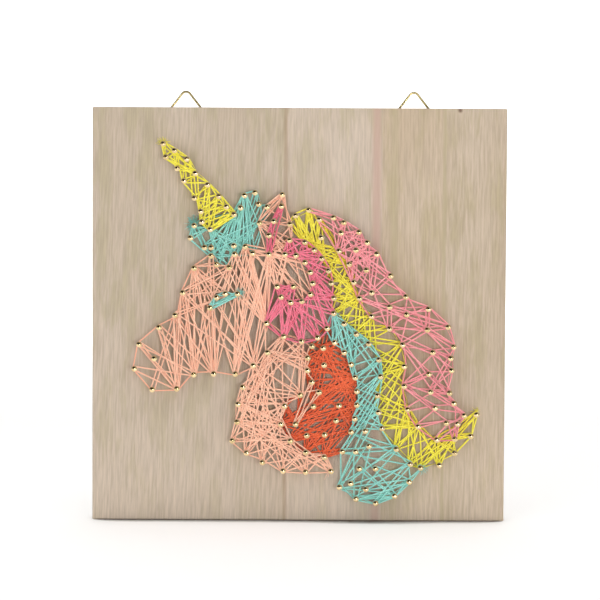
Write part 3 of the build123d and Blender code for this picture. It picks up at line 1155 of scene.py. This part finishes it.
@dataclass
class Hangers:
    """The two wire rings in their straps, screwed to the back of the board."""

    sides: tuple[str, str] = ("left", "right")
    fitting: BrassFinish = BrassFinish("strap_brass", srgb(232, 200, 130), srgb(176, 140, 84))
    wire: BrassFinish = BrassFinish("ring_brass", srgb(216, 198, 142), srgb(152, 138, 96))

    def build(self, effects: Effects) -> None:
        """Dresses both.

        Args:
            effects: The shared node groups.
        """
        fitting, wire = self.fitting.make(effects), self.wire.make(effects)
        for side in self.sides:
            for part, material in (("strap_", fitting), ("ring_", wire), ("screw_", fitting)):
                dress(part + side, material)
            log.info("hanger %s dressed", side)


@dataclass
class Threads:
    """All fields of colour."""

    body: str = "plaque"

    def finishes(self) -> dict[str, CottonFinish]:
        """Lists the dyes.

        Returns:
            The finish by material slot.
        """
        dyes = {
            "yellow": (srgb(252, 243, 66), srgb(226, 200, 26)),
            "turquoise": (srgb(156, 226, 214), srgb(86, 180, 170)),
            "peach": (srgb(254, 202, 172), srgb(230, 150, 118)),
            "pink": (srgb(247, 128, 152), srgb(214, 72, 102)),
            "rose": (srgb(252, 164, 170), srgb(228, 116, 124)),
            "orange": (srgb(240, 98, 34), srgb(200, 62, 16)),
        }
        return {"thread_" + dye: CottonFinish("cotton_" + dye, *tones) for dye, tones in dyes.items()}

    def build(self, effects: Effects, pattern: Pattern) -> None:
        """Winds each field and dresses it.

        Args:
            effects: The shared node groups.
            pattern: The nails.
        """
        dyes = {slot: finish.make(effects) for slot, finish in self.finishes().items()}
        slots = {part["node"]: part["material_slot"] for part in frame["record"]["subparts"]}
        for thread in lay_out(pattern.rows):
            node = "thread_" + thread.name
            piece = thread.build(pattern, dyes[slots[node]])
            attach(piece, self.body)
            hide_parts(node)
            log.info("field %s: %d faces", thread.name, len(piece.data.polygons))


@dataclass(frozen=True)
class Lamp:
    """A square soft box. It faces its own target, or the plaque."""

    name: str
    place: Point
    size: float
    power: float
    target: Point | None = None
    mirrored: bool = False

    def hang(self, aim: Point) -> None:
        """Adds the lamp to the scene.

        Args:
            aim: The middle of the plaque.
        """
        lamp = bpy.data.lights.new(self.name, "AREA")
        lamp.energy, lamp.size = self.power, self.size
        holder = bpy.data.objects.new(self.name, lamp)
        holder.location = self.place
        view = Vector(self.target or aim) - Vector(self.place)
        holder.rotation_euler = view.to_track_quat("-Z", "Y").to_euler()
        holder.visible_glossy = self.mirrored
        bpy.context.collection.objects.link(holder)


@dataclass
class Studio:
    """Pale floor and sweep, soft light and the camera.

    The floor has a painted contact shadow: its colour and glow darken where the board shuts it in and openness is
    low, but not past the board's corners. It also has a painted glow, stronger towards the front.
    """

    floor_depth: float = 3.0
    sweep_bend: float = 0.6
    sweep_steps: int = 16
    # Painted contact shadow: how far the occlusion reaches, the openness over which it darkens, where it fades out
    # past the corners, and its dark colour.
    contact: float = 28 * MM
    openness: Span = (0.50, 0.74)
    corners: Span = (106 * MM, 112 * MM)
    painted_contact_shadow: Colour = (0.10, 0.075, 0.055)
    # Painted glow: the floor's emission strength, rising towards the front.
    glow: Span = (0.22, 0.75)
    glow_rise: Span = (-1.2, -2.0)
    camera_reach: float = 1.1975
    camera_rise: float = 3.0
    camera_roll: float = -0.3
    lens: float = 135.0
    aim: Point = (0.0002, -0.006, 0.118)
    room_light: float = 0.47
    room_seen: float = 0.95
    dim_side: Point = (-0.30, -0.94, 0.12)
    lamps: tuple[Lamp, ...] = (
        Lamp("key", (0.42, -1.5, -0.02), 0.35, 13.0, mirrored=True),
        Lamp("fill", (-0.9, -1.3, 0.7), 1.2, 5.0),
        Lamp("overhead", (0.1, -0.2, 1.6), 1.4, 9.0),
        Lamp("rear", (0.0, 1.6, 1.2), 2.0, 24.0, (0.0, 2.6, 0.3)),
    )

    def build(self) -> None:
        """Sets everything up round the plaque."""
        self.sweep()
        for lamp in self.lamps:
            lamp.hang(self.aim)
        self.surroundings()
        self.camera()

    def sweep(self) -> None:
        """Makes the floor that curves up into a backdrop."""
        form = bmesh.new()
        half = self.floor_depth
        bmesh.ops.create_grid(form, x_segments=1, y_segments=1, size=half)
        rear = [edge for edge in form.edges if all(vertex.co.y > half - MM for vertex in edge.verts)]
        wall = bmesh.ops.extrude_edge_only(form, edges=rear)["geom"]
        top = [part for part in wall if isinstance(part, bmesh.types.BMVert)]
        bmesh.ops.translate(form, vec=(0, 0, 2 * half), verts=top)
        fold = [edge for edge in form.edges if all(v.co.y > half - MM and abs(v.co.z) < MM for v in edge.verts)]
        shape = {"offset": self.sweep_bend, "segments": self.sweep_steps, "profile": 0.5}
        bmesh.ops.bevel(form, geom=fold, affect="EDGES", material=-1, **shape)
        mesh = bpy.data.meshes.new("sweep")
        form.to_mesh(mesh)
        form.free()
        mesh.shade_smooth()
        mesh.materials.append(self.paper())
        backdrop = bpy.data.objects.new("sweep", mesh)
        bpy.context.collection.objects.link(backdrop)

    def paper(self) -> Material:
        """Makes the white floor material, with a painted contact shadow by the board and a painted glow.

        Returns:
            The material.
        """
        material, bench, shader = blank_material("paper", {"Roughness": 0.9, "Specular IOR Level": 0.1})
        here = bench.here()
        tooth = bench.noise(here, 900)
        parts = bench.split(here)
        # Painted contact shadow: colour and glow darken where the board shuts the floor in, but not past its
        # corners.
        around = bench.put("ShaderNodeAmbientOcclusion", {"Distance": self.contact}, samples=8).outputs["AO"]
        beside = bench.ramp(bench.math("ABSOLUTE", parts["X"]), *self.corners)
        lit = bench.math("MAXIMUM", bench.ramp(around, *self.openness), beside)
        white = bench.mix(tooth, (0.93, 0.93, 0.93), (0.95, 0.95, 0.95))
        bench.join(bench.mix(lit, self.painted_contact_shadow, white), shader, "Base Color")
        bench.join(bench.mix(lit, (0, 0, 0), (1, 1, 1)), shader, "Emission Color")
        # Painted glow: the floor emits light, more towards the front.
        bench.join(bench.ramp(parts["Y"], *self.glow_rise, *self.glow), shader, "Emission Strength")
        return material

    def surroundings(self) -> None:
        """Lights the room evenly, with one side that only mirrors show as dim."""
        world = bpy.data.worlds.new("room")
        world.use_nodes = True
        bench = Bench(world.node_tree)
        ray = bench.put("ShaderNodeLightPath").outputs
        looking = bench.put("ShaderNodeTexCoord").outputs["Generated"]
        dim = bench.ramp(bench.compare("DOT_PRODUCT", looking, self.dim_side), 0.50, 0.80)
        share = bench.math("MULTIPLY", dim, ray["Is Glossy Ray"])
        air = bench.mix(share, (1.0, 0.985, 0.96), (0.012, 0.010, 0.008))
        extra = self.room_seen - self.room_light
        level = bench.math("MULTIPLY_ADD", ray["Is Camera Ray"], extra, self.room_light)
        glow = bench.put("ShaderNodeBackground", {"Color": air, "Strength": level})
        bench.put("ShaderNodeOutputWorld", {"Surface": glow.outputs[0]})
        bpy.context.scene.world = world
        bpy.context.scene.view_settings.view_transform = "Standard"

    def camera(self) -> None:
        """Places the camera in front of the plaque, a little above it."""
        eye = bpy.data.cameras.new("camera")
        eye.lens, eye.sensor_width, eye.clip_start = self.lens, 36.0, 0.01
        holder = bpy.data.objects.new("camera", eye)
        rise = math.radians(self.camera_rise)
        arm = Vector((0, -math.cos(rise), math.sin(rise))) * self.camera_reach
        holder.location = Vector(self.aim) + arm
        holder.rotation_euler = (math.radians(90) - rise, math.radians(self.camera_roll), 0)
        bpy.context.collection.objects.link(holder)
        bpy.context.scene.camera = holder


def main() -> None:
    """Builds the studio, the board, the nails, the threads and the hangers."""
    logging.basicConfig(level=logging.INFO)
    Studio().build()
    effects = Effects()
    pattern = Pattern()
    pattern.read()
    Board().build(effects)
    Nails().build(effects, pattern)
    Threads().build(effects, pattern)
    Hangers().build(effects)


if __name__ == "__main__":
    main()
